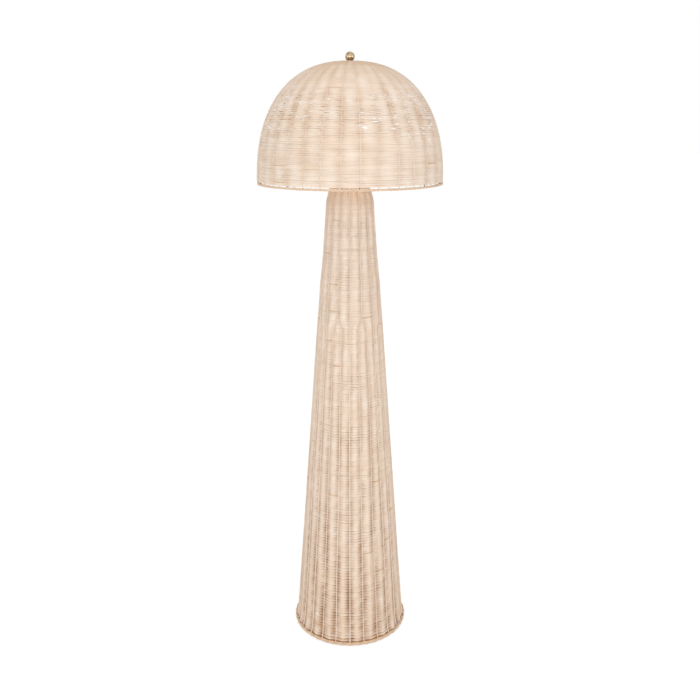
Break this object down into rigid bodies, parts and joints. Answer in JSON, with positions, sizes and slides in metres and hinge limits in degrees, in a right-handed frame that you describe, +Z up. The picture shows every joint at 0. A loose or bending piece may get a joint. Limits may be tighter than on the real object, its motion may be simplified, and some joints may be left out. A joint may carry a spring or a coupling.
{
  "type": "floor lamp",
  "caption": "Floor lamp with a tall tapering woven rattan column on a weighted base and a woven dome shade hung on a harp over a screw-in bulb.",
  "frame": {"origin": "on the floor, under the lamp's upright middle line", "axes": "+Z up, -Y to the front, where the viewer stands, +X to the viewer's right"},
  "size_m": [0.48, 0.48, 1.5816],
  "materials": {
    "rattan": "natural woven rattan core, clear matt lacquer",
    "rattan_peel": "natural rattan, satin peel side",
    "black_steel": "black powder coat",
    "zinc_steel": "zinc plated",
    "antique_brass": "antique brass, polished high spots",
    "aluminium": "rolled bright",
    "rubber": "matt black",
    "dark_plastic": "moulded, dark brown",
    "insulating_paper": "vulcanised fibre",
    "opal_glass": "opal white"
  },
  "bodies": {
    "stand": {"foot_1": "rubber", "foot_2": "rubber", "foot_3": "rubber", "foot_4": "rubber", "base_plate": "black_steel", "base_washer": "zinc_steel", "base_nut": "zinc_steel", "base_nipple": "zinc_steel", "base_flange": "zinc_steel", "column_border": "rattan_peel", "column_weave": "rattan", "column_frame": "black_steel", "cord_grommet": "rubber", "centre_pole": "black_steel", "lower_pole_insert": "zinc_steel", "upper_pole_insert": "zinc_steel", "neck_nipple": "zinc_steel", "neck_cap": "black_steel", "neck_nut": "zinc_steel", "harp_saddle": "zinc_steel", "holder_cap": "antique_brass", "holder_shell": "antique_brass", "holder_liner": "insulating_paper", "holder_body": "dark_plastic"},
    "switch": {"switch_shaft": "zinc_steel", "switch_knob": "dark_plastic"},
    "bulb": {"bulb_cap": "aluminium", "bulb_glass": "opal_glass"},
    "harp": {"harp": "antique_brass"},
    "left_sleeve": {"left_harp_sleeve": "antique_brass"},
    "right_sleeve": {"right_harp_sleeve": "antique_brass"},
    "shade_seat": {"seat_washer": "antique_brass"},
    "shade": {"shade_frame": "black_steel", "shade_weave": "rattan", "shade_border": "rattan_peel", "shade_crown": "rattan_peel", "finial_washer": "antique_brass"},
    "finial": {"finial": "antique_brass"}
  },
  "joints": [
    {"name": "switch_turn", "type": "hinge", "parent": "stand", "child": "switch", "pos_m": [0, -0.025, 1.2907], "axis": [0, -1, 0], "continuous": true},
    {"name": "bulb_unscrew", "type": "hinge", "parent": "stand", "child": "bulb", "pos_m": [0, 0, 1.31], "axis": [0, 0, 1], "continuous": true},
    {"name": "harp_lift", "type": "slide", "parent": "stand", "child": "harp", "axis": [0, 0, 1], "range_m": [0, 0.02]},
    {"name": "left_sleeve_slide", "type": "slide", "parent": "harp", "child": "left_sleeve", "axis": [0, 0, 1], "range_m": [0, 0.012]},
    {"name": "right_sleeve_slide", "type": "slide", "parent": "harp", "child": "right_sleeve", "axis": [0, 0, 1], "range_m": [0, 0.012]},
    {"name": "shade_turn", "type": "hinge", "parent": "harp", "child": "shade_seat", "pos_m": [0, 0, 1.542], "axis": [0, 0, 1], "continuous": true},
    {"name": "shade_lift", "type": "slide", "parent": "shade_seat", "child": "shade", "axis": [0, 0, 1], "range_m": [0, 0.32]},
    {"name": "finial_unscrew", "type": "hinge", "parent": "shade", "child": "finial", "pos_m": [0, 0, 1.565], "axis": [0, 0, 1], "continuous": true}
  ]
}
